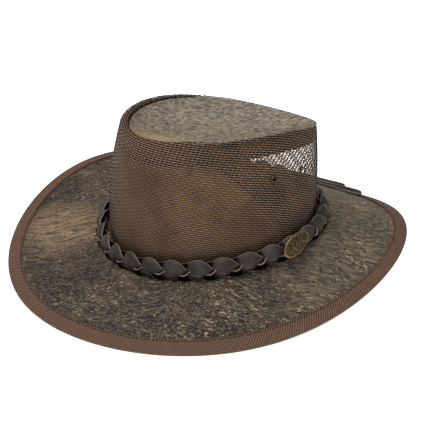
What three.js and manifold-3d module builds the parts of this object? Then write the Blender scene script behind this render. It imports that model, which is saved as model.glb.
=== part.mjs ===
// Leather outback hat: a leather brim with a bound edge, an open-mesh crown with a leather top,
// a plaited leather band with an oval badge, and four vent eyelets.
// Millimetres, +Z up, +X to the front of the hat, +Y to the wearer's left.
import * as THREE from 'three';
import { mergeVertices } from 'three/addons/utils/BufferGeometryUtils.js';
import Module from 'manifold-3d';

// The hat is worked out about the middle of its head opening, then tipped back and set down.
const tipBack = THREE.MathUtils.degToRad(2.48);
const footFlat = 1.2;          // how far the bound edge is pressed flat where it rests
const around = 64;             // steps once round the head

// Brim: an egg that is widest behind the head, low at the sides and turned up at the front.
const brim = { length: 191, width: 155.8, ahead: -4.6, egg: 0.257, thick: 2, bow: 1.15, rows: 5 };
const brimDrop = { mean: -22.6, pitch: 0.6, twist: 7.2, flank: 7.8 };
const binding = { wide: 12, gap: 0.4, thick: 0.9, nose: 1.3 };

// Crown: base outline, top outline (a teardrop with its point in front), and the wall between.
const head = { length: 99, width: 82.6, egg: 0.131, rollUp: -2.1, rise: 9.6 };
const top = { length: 87.4, width: 41.8, ahead: 6, egg: 0.575, high: 106.6, rise: -1, arch: 1.8 };
const wall = { thick: 1.6, foot: 0.5, lean: 2.2, rows: [0, 0.15, 0.4, 0.65, 0.86, 1] };
const rim = { wide: 4.6, roll: 6, swellBack: 1.5, swellFront: 0.8 };
const dent = { at: 50, spread: 17, deep: 7, along: 0.35 };
const panel = { inset: 4.1, thick: 1.5, gap: 0.4, collar: 17, dish: 15, middle: -22 };
const lining = { inset: 2.5, thick: 1, curve: 1.9, round: 0.6, reach: 1.04, rows: 4 };
// Cosines of the angles where its top edge starts down and where it ends, on the right and on the left.
const liningEnds = { right: [-0.77, 0.7], left: [-0.95, 0.1] };

// Band: three flat strands plaited round the foot of the crown.
const plait = { turns: 10, perTurn: 10, out: 6.2, up: 7, tilt: 62, sway: 4.6, weave: 3.2, wide: 4.1, thick: 1.6 };
const badge = { angle: -49, long: 16, wide: 8, spin: 12, high: 3.4, rows: 4, lift: 4.1 };
const eyelet = { outer: 3.7, bore: 2, barrel: 2.5, hole: 3.1, flange: 0.6, gap: 0.9, height: 0.66, sides: 12 };
const eyelets = [
  { name: 'rear', angle: 54 },
  { name: 'front', angle: 31 },
];
// Loose ends of the band, laid out over the left side of the brim: angle, and way across the brim.
const tails = [
  { name: 'band_tail_1', wide: 6, lift: 2.4, route: [[60, 0.22], [55, 0.4], [45, 0.62], [36, 0.8], [29, 0.86]] },
  { name: 'band_tail_2', wide: 5, lift: 5.2, route: [[66, 0.22], [58, 0.44], [50, 0.62], [43, 0.76], [38, 0.86]] },
];
const tail = { thick: 2, steps: 22 };

const lerp = THREE.MathUtils.lerp;
const radians = THREE.MathUtils.degToRad;

// Outline of the head opening and of the crown's top, pulled in by an inset.
function headOutline(angle, inset) {
  const c = Math.cos(angle);
  const s = Math.sin(angle);
  return new THREE.Vector2((head.length - inset) * c, (head.width - inset) * s * (1 - head.egg * c));
}

function topOutline(angle, inset) {
  const c = Math.cos(angle);
  const s = Math.sin(angle);
  const x = top.ahead + (top.length - 1.5 * inset) * c;
  return new THREE.Vector2(x, (top.width - 1.1 * inset) * s * (1 - top.egg * c));
}

const headHeight = (angle) => head.rollUp * Math.cos(2 * angle) + head.rise * Math.cos(angle);
const rimHeight = (angle) => top.high + top.rise * Math.cos(angle) + top.arch * Math.sin(angle) ** 2;

// How far the mesh rim stands above the leather top: most at the back.
const rimStep = (angle) => 2.2 + 2.4 * Math.max(0, -Math.cos(angle)) ** 2;

// How far the wall swells past the rim's outline before it rolls in over the top.
function swell(angle) {
  const back = Math.max(0, -Math.cos(angle));
  return lerp(rim.swellFront, rim.swellBack, back ** 1.5);
}

// Middle of the brim's leather: across runs from 0 at the head opening to 1 at the outer edge.
function brimMiddle(angle, across) {
  const c = Math.cos(angle);
  const s = Math.sin(angle);
  const inner = headOutline(angle, wall.thick + 0.6);
  const x = brim.ahead + brim.length * c;
  const y = brim.width * s * (1 - brim.egg * c);
  const drop = brimDrop.mean + brimDrop.pitch * c
    + brimDrop.twist * Math.cos(2 * angle) + brimDrop.flank * Math.cos(3 * angle);
  const z = lerp(headHeight(angle), drop, across ** brim.bow);
  return new THREE.Vector3(lerp(inner.x, x, across), lerp(inner.y, y, across), z);
}

// A point lifted square off the brim's middle.
function brimPoint(angle, across, lift) {
  const small = 0.01;
  const inward = Math.max(0, across - small);
  const outward = brimMiddle(angle, across + small).sub(brimMiddle(angle, inward));
  const along = brimMiddle(angle + small, across).sub(brimMiddle(angle - small, across));
  const normal = outward.cross(along).normalize();
  return brimMiddle(angle, across).addScaledVector(normal, lift);
}

const brimSpan = (angle) => brimMiddle(angle, 1).distanceTo(brimMiddle(angle, 0));

// Crown wall: height runs from 0 at its foot to 1 at the shoulder, where the roll begins.
function wallPoint(angle, height, inset) {
  const low = headOutline(angle, inset);
  const high = topOutline(angle, inset - swell(angle));
  const blend = height ** wall.lean;
  const away = Math.abs(THREE.MathUtils.radToDeg(Math.atan2(Math.sin(angle), Math.cos(angle)))) - dent.at;
  const push = dent.deep * Math.exp(-((away / dent.spread) ** 2)) * Math.sin(Math.PI * height) ** 2;
  const x = lerp(low.x, high.x, blend) - dent.along * push;
  const y = lerp(low.y, high.y, blend) - Math.sign(Math.sin(angle)) * push;
  const foot = headHeight(angle) + brim.thick / 2 + wall.foot;
  return new THREE.Vector3(x, y, lerp(foot, rimHeight(angle) - rim.roll, height));
}

// The same wall as it is faceted, straight from row to row.
function facetPoint(angle, height, inset) {
  const { rows } = wall;
  const next = rows.findIndex((row, r) => r > 0 && row >= height);
  const part = (height - rows[next - 1]) / (rows[next] - rows[next - 1]);
  return wallPoint(angle, rows[next - 1], inset).lerp(wallPoint(angle, rows[next], inset), part);
}

function rimPoint(angle, inset, below) {
  const edge = topOutline(angle, inset);
  return new THREE.Vector3(edge.x, edge.y, rimHeight(angle) - below);
}

// Tip the worked-out point back and set it down. What would reach below the surface is flattened.
function tipped(point) {
  const c = Math.cos(tipBack);
  const s = Math.sin(tipBack);
  return new THREE.Vector3(point.x * c - point.z * s, point.y, point.z * c + point.x * s);
}

const bindingLow = binding.gap + binding.thick + brim.thick / 2;
const bindingNose = binding.gap + binding.nose;

function findSeat() {
  const reach = new THREE.Box3();
  for (let i = 0; i < around; i += 1) {
    const angle = (i / around) * Math.PI * 2;
    const beyond = bindingNose / brimSpan(angle);
    reach.expandByPoint(tipped(brimPoint(angle, 1 + beyond, 0)));
    reach.expandByPoint(tipped(brimPoint(angle, 1 + beyond / 2, -bindingLow)));
  }
  const middle = reach.getCenter(new THREE.Vector3());
  return new THREE.Vector3(-middle.x, 0, -reach.min.z - footFlat);
}

const seat = findSeat();

function place(point) {
  const set = tipped(point).add(seat);
  set.z = Math.max(0, set.z);
  return set;
}

function closedGeometry(points, faces) {
  const volume = faces.reduce((sum, [a, b, c]) => {
    return sum + points[a].dot(new THREE.Vector3().crossVectors(points[b], points[c]));
  }, 0);
  const outward = volume > 0 ? faces : faces.map(([a, b, c]) => [a, c, b]);
  const geometry = new THREE.BufferGeometry().setFromPoints(points);
  geometry.setIndex(outward.flat());
  geometry.computeVertexNormals();
  return geometry;
}

// A solid from rings of points. The rings either close on each other, or end at two poles.
function ringSolid(rings, poles) {
  const count = rings[0].length;
  const points = rings.flat();
  const faces = [];
  const links = poles ? rings.length - 1 : rings.length;
  for (let r = 0; r < links; r += 1) {
    const next = (r + 1) % rings.length;
    for (let i = 0; i < count; i += 1) {
      const j = (i + 1) % count;
      const [a, b, c, d] = [r * count + i, r * count + j, next * count + j, next * count + i];
      faces.push([a, b, c], [a, c, d]);
    }
  }
  if (poles) {
    const first = points.push(poles[0]) - 1;
    const last = points.push(poles[1]) - 1;
    const final = (rings.length - 1) * count;
    for (let i = 0; i < count; i += 1) {
      const j = (i + 1) % count;
      faces.push([first, j, i], [final + i, final + j, last]);
    }
  }
  return closedGeometry(points, faces);
}

// A ring of placed points once round the hat.
function ringOf(pointAt, steps = around) {
  return Array.from({ length: steps }, (_, i) => place(pointAt((i / steps) * Math.PI * 2)));
}

// An open sheet with thickness: columns of points, each listed up the front and down the back.
function stripSolid(columns) {
  const points = columns.flat();
  const count = columns[0].length;
  const faces = [];
  for (let c = 0; c < columns.length - 1; c += 1) {
    for (let i = 0; i < count; i += 1) {
      const j = (i + 1) % count;
      const [p, q] = [c * count, (c + 1) * count];
      faces.push([p + i, p + j, q + j], [p + i, q + j, q + i]);
    }
  }
  const last = (columns.length - 1) * count;
  for (let i = 0; i < count / 2 - 1; i += 1) {
    const [a, b, c, d] = [i, i + 1, count - 2 - i, count - 1 - i];
    faces.push([b, a, d], [b, d, c], [last + a, last + b, last + d], [last + b, last + c, last + d]);
  }
  return closedGeometry(points, faces);
}

function brimGeometry() {
  const rings = [];
  for (let r = 0; r <= brim.rows; r += 1) {
    rings.push(ringOf((angle) => brimPoint(angle, r / brim.rows, brim.thick / 2)));
  }
  for (let r = brim.rows; r >= 0; r -= 1) {
    rings.push(ringOf((angle) => brimPoint(angle, r / brim.rows, -brim.thick / 2)));
  }
  return ringSolid(rings);
}

// The binding is a tape folded over the edge: distance past the edge, and height off the middle.
function bindingGeometry() {
  const inside = brim.thick / 2 + binding.gap;
  const outside = inside + binding.thick;
  const section = [
    [-binding.wide, outside], [0, outside], [bindingNose, outside / 2], [bindingNose, -outside / 2],
    [bindingNose / 2, -outside], [-binding.wide, -outside], [-binding.wide, -inside],
    [binding.gap, -inside], [binding.gap, inside], [-binding.wide, inside],
  ];
  return ringSolid(section.map(([past, lift]) => {
    return ringOf((angle) => brimPoint(angle, 1 + past / brimSpan(angle), lift));
  }));
}

// The wall rolls in over the rim and ends in a short lip that stands over the leather top.
function crownWallGeometry() {
  const outer = wall.rows.map((height) => ringOf((angle) => wallPoint(angle, height, 0)));
  const inner = wall.rows.map((height) => ringOf((angle) => wallPoint(angle, height, wall.thick)));
  const lip = rim.wide - wall.thick;
  const roll = [
    ringOf((angle) => rimPoint(angle, -0.6 * swell(angle), rim.roll / 3)),
    ringOf((angle) => rimPoint(angle, wall.thick, 0)),
    ringOf((angle) => rimPoint(angle, rim.wide, wall.thick / 2)),
    ringOf((angle) => rimPoint(angle, rim.wide, rimStep(angle))),
    ringOf((angle) => rimPoint(angle, lip, rimStep(angle))),
    ringOf((angle) => rimPoint(angle, lip, wall.thick + 0.3)),
    ringOf((angle) => rimPoint(angle, wall.thick - 0.6 * swell(angle), rim.roll / 3 + wall.thick)),
  ];
  return ringSolid([...outer, ...roll, ...inner.reverse()]);
}

// The leather top is dished, and its edge is turned down inside the mesh as a collar.
function crownTopGeometry() {
  const centre = new THREE.Vector3(panel.middle, 0, top.high - panel.dish);
  const dish = (part, below) => ringOf((angle) => {
    const edge = rimPoint(angle, panel.inset + panel.thick, rimStep(angle) + panel.gap);
    const point = centre.clone().lerp(edge, part);
    point.z = lerp(centre.z, edge.z, part ** 3) - below;
    return point;
  });
  const collar = (inset, below) => ringOf((angle) => rimPoint(angle, inset, rimStep(angle) + below));
  const parts = [0.3, 0.55, 0.75, 0.9];
  const rings = [
    ...parts.map((part) => dish(part, 0)),
    collar(panel.inset + panel.thick, panel.gap),
    collar(panel.inset, 2 * panel.gap),
    collar(panel.inset, panel.collar),
    collar(panel.inset + panel.thick, panel.collar),
    collar(panel.inset + panel.thick, 5),
    ...parts.toReversed().map((part) => dish(part, panel.thick)),
  ];
  const under = centre.clone().setZ(centre.z - panel.thick);
  return ringSolid(rings, [place(centre), place(under)]);
}

// The lining backs the mesh round the back. Its top edge slopes down to the front on both sides.
function liningHeight(angle) {
  const [start, finish] = Math.sin(angle) < 0 ? liningEnds.right : liningEnds.left;
  const past = Math.max(0, Math.cos(angle) - start) / (finish - start);
  const slope = lining.reach * (1 - Math.min(1, past) ** lining.curve) ** lining.round;
  const underLip = 1 - (rimStep(angle) + 2 - rim.roll) / (rimHeight(angle) - rim.roll);
  return Math.max(0.03, Math.min(slope, underLip, 1));
}

function crownLiningGeometry() {
  const [first, short] = [liningEnds.left, liningEnds.right].map((ends) => Math.ceil((Math.acos(ends[1]) / (Math.PI * 2)) * around));
  const columns = [];
  for (let c = first; c <= around - short; c += 1) {
    const angle = (c / around) * Math.PI * 2;
    const reach = liningHeight(angle);
    const heights = Array.from({ length: lining.rows + 1 }, (_, r) => (r / lining.rows) * reach);
    const outer = heights.map((height) => place(facetPoint(angle, height, lining.inset)));
    const inner = heights.map((height) => place(facetPoint(angle, height, lining.inset + lining.thick)));
    columns.push([...outer, ...inner.reverse()]);
  }
  return stripSolid(columns);
}

// Middle line of the plait, with the directions across it and out of it.
function plaitFrame(angle) {
  const small = 0.001;
  const at = (a) => {
    const ring = headOutline(a, -plait.out);
    const under = brimMiddle(a, plait.out / brimSpan(a));
    return new THREE.Vector3(ring.x, ring.y, under.z + brim.thick / 2 + plait.up);
  };
  const along = at(angle + small).sub(at(angle - small)).normalize();
  const out = new THREE.Vector3(along.y, -along.x, 0).normalize();
  const tilt = radians(plait.tilt);
  const across = out.clone().multiplyScalar(-Math.cos(tilt)).setZ(Math.sin(tilt));
  const face = out.clone().multiplyScalar(Math.sin(tilt)).setZ(Math.cos(tilt));
  return { middle: at(angle), along, across, face };
}

function strandMiddle(angle, start) {
  const { middle, across, face } = plaitFrame(angle);
  const phase = plait.turns * angle + start;
  return middle
    .addScaledVector(across, plait.sway * Math.sin(phase))
    .addScaledVector(face, plait.weave * Math.sin(2 * phase));
}

function strandGeometry(start) {
  const small = 0.001;
  const corners = [[1, 1], [1, -1], [-1, -1], [-1, 1]];
  const rings = corners.map(([sideways, outward]) => ringOf((angle) => {
    const run = strandMiddle(angle + small, start).sub(strandMiddle(angle - small, start)).normalize();
    const side = run.clone().cross(plaitFrame(angle).face).normalize();
    const normal = side.clone().cross(run);
    return strandMiddle(angle, start)
      .addScaledVector(side, sideways * plait.wide / 2)
      .addScaledVector(normal, outward * plait.thick / 2);
  }, plait.turns * plait.perTurn));
  return ringSolid(rings);
}

// Turns a piece made about its own Z axis so that Z points along a face and X along a run.
function turnTo(mesh, origin, run, face) {
  const side = face.clone().cross(run).normalize();
  const straight = side.clone().cross(face).normalize();
  mesh.quaternion.setFromRotationMatrix(new THREE.Matrix4().makeBasis(straight, side, face));
  mesh.position.copy(origin);
  return mesh;
}

function badgeMesh(material) {
  const profile = [new THREE.Vector2(0, 0), new THREE.Vector2(1, 0), new THREE.Vector2(1, badge.high * 0.3)];
  for (let r = 1; r <= badge.rows; r += 1) {
    const rise = (r / badge.rows) * Math.PI / 2;
    profile.push(new THREE.Vector2(Math.cos(rise) * 0.92, badge.high * (0.3 + 0.7 * Math.sin(rise))));
  }
  profile[profile.length - 1].x = 0;
  const geometry = new THREE.LatheGeometry(profile, 20);
  geometry.rotateX(Math.PI / 2);
  geometry.scale(badge.long, badge.wide, 1);
  const { middle, along, face } = plaitFrame(radians(badge.angle));
  const lifted = place(middle.addScaledVector(face, badge.lift));
  const tip = (direction) => tipped(direction).normalize();
  return turnTo(new THREE.Mesh(geometry, material), lifted, tip(along), tip(face))
    .rotateZ(radians(badge.spin));
}

// An eyelet grips the wall's thickness between two flanges. Its place is the middle of the wall.
function wallFrame(angle, height) {
  const small = 0.01;
  const inset = wall.thick / 2;
  const along = wallPoint(angle + small, height, inset).sub(wallPoint(angle - small, height, inset));
  const rise = wallPoint(angle, height + small, inset).sub(wallPoint(angle, height - small, inset));
  const face = tipped(along.clone().cross(rise)).normalize();
  return { middle: place(wallPoint(angle, height, inset)), along: tipped(along).normalize(), face };
}

function eyeletGeometry() {
  const under = wall.thick / 2 + eyelet.gap;
  const over = under + eyelet.flange;
  const profile = [
    [eyelet.bore, -over], [eyelet.outer, -over], [eyelet.outer, -under], [eyelet.barrel, -under],
    [eyelet.barrel, under], [eyelet.outer, under], [eyelet.outer, over], [eyelet.bore, over],
    [eyelet.bore, -over],
  ];
  const geometry = new THREE.LatheGeometry(profile.map(([r, z]) => new THREE.Vector2(r, z)), eyelet.sides);
  return geometry.rotateX(Math.PI / 2);
}

function tailGeometry({ wide, lift, route }) {
  const points = route.map(([degrees, across]) => new THREE.Vector3(radians(degrees), across, 0));
  const curve = new THREE.CatmullRomCurve3(points);
  const at = (part, raise) => {
    const spot = curve.getPoint(part);
    return brimPoint(spot.x, spot.y, brim.thick / 2 + lift + raise);
  };
  const columns = [];
  for (let i = 0; i <= tail.steps; i += 1) {
    const part = i / tail.steps;
    const run = at(Math.min(1, part + 0.01), 0).sub(at(Math.max(0, part - 0.01), 0)).normalize();
    const side = new THREE.Vector3(run.y, -run.x, 0).normalize().multiplyScalar(wide / 2);
    columns.push([
      place(at(part, tail.thick).sub(side)), place(at(part, tail.thick).add(side)),
      place(at(part, 0).add(side)), place(at(part, 0).sub(side)),
    ]);
  }
  return stripSolid(columns);
}

// Holes in the crown wall for the eyelets.
const wasm = await Module();
wasm.setup();

function toSolid(geometry) {
  const bare = geometry.clone();
  bare.deleteAttribute('normal');
  bare.deleteAttribute('uv');
  const merged = mergeVertices(bare, 1e-4);
  return new wasm.Manifold(new wasm.Mesh({
    numProp: 3,
    vertProperties: new Float32Array(merged.attributes.position.array),
    triVerts: new Uint32Array(merged.index.array),
  }));
}

function toGeometry(solid) {
  const mesh = solid.getMesh();
  const geometry = new THREE.BufferGeometry();
  geometry.setAttribute('position', new THREE.BufferAttribute(mesh.vertProperties, 3));
  geometry.setIndex(new THREE.BufferAttribute(mesh.triVerts, 1));
  geometry.computeVertexNormals();
  return geometry;
}

function drilledWall(spots) {
  return toGeometry(spots.reduce((solid, { middle, along, face }) => {
    const drill = new THREE.CylinderGeometry(eyelet.hole, eyelet.hole, 12, eyelet.sides);
    const rod = turnTo(new THREE.Mesh(drill.rotateX(Math.PI / 2)), middle, along, face);
    rod.updateMatrix();
    return solid.subtract(toSolid(drill.applyMatrix4(rod.matrix)));
  }, toSolid(crownWallGeometry())));
}

// Materials and the assembled hat.
function material(color, roughness, metalness = 0) {
  return new THREE.MeshStandardMaterial({ color, roughness, metalness });
}

const hat = new THREE.Group();

function add(name, geometry, finish) {
  const mesh = new THREE.Mesh(geometry, finish);
  mesh.name = name;
  hat.add(mesh);
}

const spots = [];
for (const [side, sign] of [['right', -1], ['left', 1]]) {
  for (const { name, angle } of eyelets) {
    const spot = wallFrame(radians(angle) * sign, eyelet.height);
    spots.push({ ...spot, name: `eyelet_${side}_${name}` });
  }
}

add('brim', brimGeometry(), material(0x4a4038, 0.6));
add('brim_binding', bindingGeometry(), material(0x53392b, 0.8));
add('crown_wall', drilledWall(spots), material(0x6e5746, 0.85));
add('crown_top', crownTopGeometry(), material(0x6f665b, 0.6));
add('crown_lining', crownLiningGeometry(), material(0x5a4a30, 0.85));
for (let k = 0; k < 3; k += 1) {
  add(`band_strand_${k + 1}`, strandGeometry((k * Math.PI * 2) / 3), material(0x3a322f, 0.5));
}
for (const row of tails) {
  add(row.name, tailGeometry(row), material(0x332c2a, 0.5));
}

const concho = badgeMesh(material(0x8a7350, 0.35, 1));
concho.name = 'concho';
hat.add(concho);

for (const spot of spots) {
  const ring = turnTo(new THREE.Mesh(eyeletGeometry(), material(0x2c2824, 0.4, 1)), spot.middle, spot.along, spot.face);
  ring.name = spot.name;
  hat.add(ring);
}

export default hat;
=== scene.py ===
# Leather outback hat: brim, bound edge, open-mesh crown, leather top, plaited band and fittings.
import math

import bmesh
import bpy
from mathutils import Matrix, Vector


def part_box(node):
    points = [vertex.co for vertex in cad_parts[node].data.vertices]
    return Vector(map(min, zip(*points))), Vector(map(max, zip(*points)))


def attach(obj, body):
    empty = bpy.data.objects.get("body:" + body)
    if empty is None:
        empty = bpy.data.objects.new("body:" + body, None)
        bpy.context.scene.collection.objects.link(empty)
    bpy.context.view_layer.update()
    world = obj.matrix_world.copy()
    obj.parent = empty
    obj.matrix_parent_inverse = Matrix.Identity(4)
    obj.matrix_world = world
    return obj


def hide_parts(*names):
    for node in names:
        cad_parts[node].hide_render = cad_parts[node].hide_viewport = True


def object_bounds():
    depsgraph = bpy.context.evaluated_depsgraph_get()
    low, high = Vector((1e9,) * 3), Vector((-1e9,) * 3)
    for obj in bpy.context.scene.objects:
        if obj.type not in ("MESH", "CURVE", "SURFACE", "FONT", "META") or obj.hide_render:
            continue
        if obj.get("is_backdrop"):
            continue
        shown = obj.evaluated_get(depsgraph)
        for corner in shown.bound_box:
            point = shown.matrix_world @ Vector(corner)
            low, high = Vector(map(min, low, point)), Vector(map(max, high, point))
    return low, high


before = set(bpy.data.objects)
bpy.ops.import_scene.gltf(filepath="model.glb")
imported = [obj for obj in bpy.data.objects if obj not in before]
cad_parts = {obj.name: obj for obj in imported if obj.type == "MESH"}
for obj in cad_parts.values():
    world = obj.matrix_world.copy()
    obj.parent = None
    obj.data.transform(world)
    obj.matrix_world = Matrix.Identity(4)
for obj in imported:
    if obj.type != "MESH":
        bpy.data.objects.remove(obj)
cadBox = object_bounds()
mm = 0.001
turn = math.tau

# The hat's own lines, in millimetres, worked out about the middle of the head opening.
tipBack = math.radians(2.48)
headSize = {"length": 99.0, "width": 82.6, "egg": 0.131, "rollUp": -2.1, "rise": 9.6}
brimSize = {"length": 191.0, "width": 155.8, "ahead": -4.6, "egg": 0.257, "bow": 1.15, "thick": 2.0}
brimDrop = {"mean": -22.6, "pitch": 0.6, "twist": 7.2, "flank": 7.8}
crownTop = {"length": 87.4, "width": 41.8, "ahead": 6.0, "egg": 0.575, "high": 106.6, "rise": -1.0,
            "arch": 1.8}
wallSize = {"thick": 1.6, "foot": 0.5, "lean": 2.2, "gap": 0.6}
rimSize = {"roll": 6.0, "swellBack": 1.5, "swellFront": 0.8, "lip": 2.2, "lipBack": 2.4, "tuckIn": 1.3,
           "tuckUnder": 1.9}
sideDent = {"at": 50.0, "spread": 17.0, "deep": 7.0, "along": 0.35}


def mix(a, b, part):
    return a + (b - a) * part


def eggPoint(size, angle, inset, squeeze=(1.0, 1.0)):
    c, s = math.cos(angle), math.sin(angle)
    x = size.get("ahead", 0.0) + (size["length"] - squeeze[0] * inset) * c
    return x, (size["width"] - squeeze[1] * inset) * s * (1 - size["egg"] * c)


def headOutline(angle, inset=0.0):
    return eggPoint(headSize, angle, inset)


def topOutline(angle, inset=0.0):
    return eggPoint(crownTop, angle, inset, (1.5, 1.1))


def headHeight(angle):
    return headSize["rollUp"] * math.cos(2 * angle) + headSize["rise"] * math.cos(angle)


def rimHeight(angle):
    return crownTop["high"] + crownTop["rise"] * math.cos(angle) + crownTop["arch"] * math.sin(angle) ** 2


def rimStep(angle):
    return rimSize["lip"] + rimSize["lipBack"] * max(0, -math.cos(angle)) ** 2


def swell(angle):
    return mix(rimSize["swellFront"], rimSize["swellBack"], max(0, -math.cos(angle)) ** 1.5)


def brimMiddle(angle, across):
    x0, y0 = headOutline(angle, wallSize["thick"] + wallSize["gap"])
    x1, y1 = eggPoint(brimSize, angle, 0)
    low = (brimDrop["mean"] + brimDrop["pitch"] * math.cos(angle)
           + brimDrop["twist"] * math.cos(2 * angle) + brimDrop["flank"] * math.cos(3 * angle))
    return Vector((mix(x0, x1, across), mix(y0, y1, across),
                   mix(headHeight(angle), low, max(0, across) ** brimSize["bow"])))


def brimPoint(angle, across, lift):
    small = 0.01
    outward = brimMiddle(angle, across + small) - brimMiddle(angle, max(0, across - small))
    along = brimMiddle(angle + small, across) - brimMiddle(angle - small, across)
    return brimMiddle(angle, across) + outward.cross(along).normalized() * lift


def brimSpan(angle):
    return (brimMiddle(angle, 1) - brimMiddle(angle, 0)).length


def wallPoint(angle, height, inset):
    low, high = headOutline(angle, inset), topOutline(angle, inset - swell(angle))
    lean = height ** wallSize["lean"]
    bare = abs(math.degrees(math.atan2(math.sin(angle), math.cos(angle)))) - sideDent["at"]
    push = sideDent["deep"] * math.exp(-((bare / sideDent["spread"]) ** 2)) * math.sin(math.pi * height) ** 2
    foot = headHeight(angle) + brimSize["thick"] / 2 + wallSize["foot"]
    return Vector((
        mix(low[0], high[0], lean) - sideDent["along"] * push,
        mix(low[1], high[1], lean) - math.copysign(push, math.sin(angle)),
        mix(foot, rimHeight(angle) - rimSize["roll"], height),
    ))


def rimPoint(angle, inset, below):
    x, y = topOutline(angle, inset)
    return Vector((x, y, rimHeight(angle) - below))


def tipped(point):
    c, s = math.cos(tipBack), math.sin(tipBack)
    return Vector((point.x * c - point.z * s, point.y, point.z * c + point.x * s))


# Set down so that the worked-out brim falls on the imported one.
def findSeat():
    low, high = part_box("brim")
    edge = [tipped(brimPoint(turn * k / 256, 1, lift)) for k in range(256) for lift in (-1, 1)]
    inner = [tipped(brimPoint(turn * k / 256, 0, 1)) for k in range(256)]
    xs, top = [p.x for p in edge], max(p.z for p in edge + inner)
    return Vector(((low.x + high.x) / 2 / mm - (min(xs) + max(xs)) / 2, 0, high.z / mm - top))


seat = findSeat()
print("seat", [round(v, 2) for v in seat])


def place(point):
    spot = tipped(point) + seat
    return Vector((spot.x, spot.y, max(0, spot.z))) * mm


def heading(direction):
    return tipped(direction).normalized()


# Camera: where the photo was taken from, about the middle of the head opening.
cameraSet = {"azimuth": 2.0, "elevation": 35.6, "roll": -0.42, "away": 768.0,
             "lens": 67.32, "shiftX": -0.0012, "shiftY": 0.0106}


def makeCamera():
    az, el = math.radians(cameraSet["azimuth"]), math.radians(cameraSet["elevation"])
    back = Vector((math.sin(az) * math.cos(el), -math.cos(az) * math.cos(el), math.sin(el)))
    right = Vector((math.cos(az), math.sin(az), 0))
    up = back.cross(right)
    spin = Matrix.Rotation(math.radians(cameraSet["roll"]), 3, back)
    axes = [heading(v) for v in (spin @ right, spin @ up, back)]
    camera = bpy.data.objects.new("camera", bpy.data.cameras.new("camera"))
    bpy.context.scene.collection.objects.link(camera)
    camera.data.lens, camera.data.sensor_width = cameraSet["lens"], 36
    camera.data.shift_x, camera.data.shift_y = cameraSet["shiftX"], cameraSet["shiftY"]
    camera.data.clip_start, camera.data.clip_end = 0.05, 20
    turned = Matrix(axes).transposed().to_4x4()
    camera.matrix_world = Matrix.Translation(place(back * cameraSet["away"])) @ turned
    bpy.context.scene.camera = camera


makeCamera()


# Helpers for meshes.
def deselectAll():
    if bpy.context.object and bpy.context.object.mode != "OBJECT":
        bpy.ops.object.mode_set(mode="OBJECT")
    bpy.ops.object.select_all(action="DESELECT")


def pick(piece):
    deselectAll()
    piece.select_set(True)
    bpy.context.view_layer.objects.active = piece


def applyModifier(piece, kind, **settings):
    pick(piece)
    modifier = piece.modifiers.new(kind.title(), kind)
    for name, value in settings.items():
        setattr(modifier, name, value)
    bpy.ops.object.modifier_apply(modifier=modifier.name)


def tidyMesh(piece):
    pick(piece)
    bpy.ops.object.mode_set(mode="EDIT")
    bpy.ops.mesh.select_all(action="SELECT")
    bpy.ops.mesh.remove_doubles(threshold=0.00001)
    bpy.ops.mesh.normals_make_consistent(inside=False)
    bpy.ops.object.mode_set(mode="OBJECT")
    bpy.ops.object.shade_smooth()


# A grid laid along a surface: pointAt turns its two shares, 0 to 1, into a place in metres.
def layGrid(name, columns, rows, pointAt):
    deselectAll()
    bpy.ops.mesh.primitive_grid_add(x_subdivisions=columns, y_subdivisions=rows, size=1)
    sheet = bpy.context.object
    sheet.name = sheet.data.name = name
    for vertex in sheet.data.vertices:
        vertex.co = pointAt(vertex.co.x + 0.5, vertex.co.y + 0.5)
    tidyMesh(sheet)
    return sheet


def finishPiece(piece, slot, materials, *nodes):
    for material in materials:
        piece.data.materials.append(material)
    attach(piece, "root")
    if nodes:
        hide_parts(*nodes)
    return piece


# Helpers for materials. This one goes from an sRGB hex text to linear values.
def hexColour(text):
    channels = [int(text[i:i + 2], 16) / 255 for i in (1, 3, 5)]
    return [c / 12.92 if c <= 0.04045 else ((c + 0.055) / 1.055) ** 2.4 for c in channels] + [1.0]


# Gives an input its value. A socket is linked there, and a hex text becomes a colour.
def fill(tree, entry, value):
    if isinstance(value, bpy.types.NodeSocket):
        tree.links.new(value, entry)
    else:
        entry.default_value = hexColour(value) if isinstance(value, str) else value


# Adds a node and gives its first output, or the one asked for. Each value is for the input of that name or
# place, or else for the setting of that name.
def addNode(tree, kind, values, output=0):
    made = tree.nodes.new("ShaderNode" + kind)
    for name, value in values.items():
        if isinstance(name, str) and name not in made.inputs:
            setattr(made, name, value)
        else:
            fill(tree, made.inputs[name], value)
    return made.outputs[output]


# Sets the shader's own inputs.
def feed(tree, shader, **values):
    for key, value in values.items():
        fill(tree, shader.inputs[key.replace("_", " ")], value)


def newMaterial(name, **values):
    material = bpy.data.materials.new(name)
    material.use_nodes = True
    tree = material.node_tree
    shader = tree.nodes["Principled BSDF"]
    feed(tree, shader, **values)
    return material, tree, shader


def plainMaterial(name, colour, roughness, metallic=0.0, shine=0.5):
    values = {"Base_Color": colour, "Roughness": roughness, "Metallic": metallic, "Specular_IOR_Level": shine}
    return newMaterial(name, **values)[0]


# Place in the hat's own space, in metres, or on the piece's own map, stretched along each axis.
def stretched(tree, stretch=(1, 1, 1), source="Object"):
    spot = addNode(tree, "TexCoord", {}, source)
    return addNode(tree, "VectorMath", {"operation": "MULTIPLY", 0: spot, 1: stretch})


# Settings of a Map Range node that fades softly from one level to the other.
def fading(value, low, high):
    return {"interpolation_type": "SMOOTHSTEP", "Value": value, "From Min": low, "From Max": high}


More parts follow.
